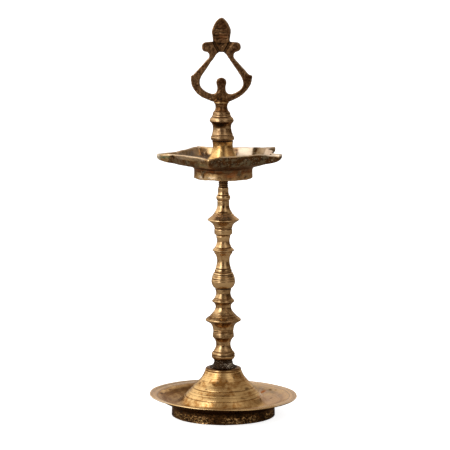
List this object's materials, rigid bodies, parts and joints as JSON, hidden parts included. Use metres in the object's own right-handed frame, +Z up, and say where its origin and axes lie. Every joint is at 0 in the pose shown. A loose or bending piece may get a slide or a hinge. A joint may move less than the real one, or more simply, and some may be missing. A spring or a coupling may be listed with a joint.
{
  "type": "standing oil lamp",
  "caption": "Standing brass oil lamp: turned stem on a drip-plate base, spouted oil dish on a threaded stud, looped finial above; the parts unscrew",
  "frame": {"origin": "centre of the foot ring, on the ground", "axes": "+Z up the stem; -Y towards the viewer of the front view; the loop's flat face turns 10 degrees clockwise from above from facing -Y"},
  "size_m": [0.1384, 0.1384, 0.3706],
  "materials": {
    "cast_brass": "worn, tarnished cast surface",
    "turned_brass": "turned and worn, dark in the grooves",
    "bright_brass": "rubbed bright",
    "patina_brass": "dark oil patina with green spots",
    "dark_brass": "dark brown patina",
    "lac_packing": "rough dark lac and hemp",
    "leather_washer": "oiled leather"
  },
  "bodies": {
    "base": {"base": "cast_brass"},
    "base_packing_ring": {"base_packing": "lac_packing"},
    "lower_stem": {"stem_lower": "turned_brass"},
    "stem_washer_ring": {"stem_washer": "leather_washer"},
    "upper_stem": {"stem_upper": "turned_brass"},
    "dish_packing_ring": {"dish_packing": "lac_packing"},
    "dish": {"oil_dish": "patina_brass"},
    "boss_gasket_ring": {"boss_gasket": "leather_washer"},
    "boss": {"boss_cone": "bright_brass"},
    "finial_washer_ring": {"finial_washer": "leather_washer"},
    "finial": {"finial_neck": "turned_brass", "finial_loop": "dark_brass"}
  },
  "joints": [
    {"name": "stem_lift", "type": "slide", "parent": "base", "child": "base_packing_ring", "axis": [0, 0, 1], "range_m": [0, 0.0127]},
    {"name": "stem_turn", "type": "hinge", "parent": "base_packing_ring", "child": "lower_stem", "pos_m": [0, 0, 0.0528], "axis": [0, 0, 1], "range_deg": [0, 2160]},
    {"name": "upper_stem_lift", "type": "slide", "parent": "lower_stem", "child": "stem_washer_ring", "axis": [0, 0, 1], "range_m": [0, 0.0127]},
    {"name": "upper_stem_turn", "type": "hinge", "parent": "stem_washer_ring", "child": "upper_stem", "pos_m": [0, 0, 0.119], "axis": [0, 0, 1], "range_deg": [0, 2880]},
    {"name": "dish_lift", "type": "slide", "parent": "upper_stem", "child": "dish_packing_ring", "axis": [0, 0, 1], "range_m": [0, 0.02223]},
    {"name": "dish_turn", "type": "hinge", "parent": "dish_packing_ring", "child": "dish", "pos_m": [0, 0, 0.2275], "axis": [0, 0, 1], "range_deg": [0, 5040]},
    {"name": "boss_lift", "type": "slide", "parent": "dish", "child": "boss_gasket_ring", "axis": [0, 0, 1], "range_m": [0, 0.0127]},
    {"name": "boss_turn", "type": "hinge", "parent": "boss_gasket_ring", "child": "boss", "pos_m": [0, 0, 0.2366], "axis": [0, 0, 1], "range_deg": [0, 2880]},
    {"name": "finial_lift", "type": "slide", "parent": "boss", "child": "finial_washer_ring", "axis": [0, 0, 1], "range_m": [0, 0.00556]},
    {"name": "finial_turn", "type": "hinge", "parent": "finial_washer_ring", "child": "finial", "pos_m": [0, 0, 0.2573], "axis": [0, 0, 1], "range_deg": [0, 1260]}
  ],
  "couplings": [
    {"joint": "stem_turn", "follows": "stem_lift", "rad_per_m": 2968.4},
    {"joint": "upper_stem_turn", "follows": "upper_stem_lift", "rad_per_m": 3957.9},
    {"joint": "dish_turn", "follows": "dish_lift", "rad_per_m": 3957.9},
    {"joint": "boss_turn", "follows": "boss_lift", "rad_per_m": 3957.9},
    {"joint": "finial_turn", "follows": "finial_lift", "rad_per_m": 3957.9}
  ]
}
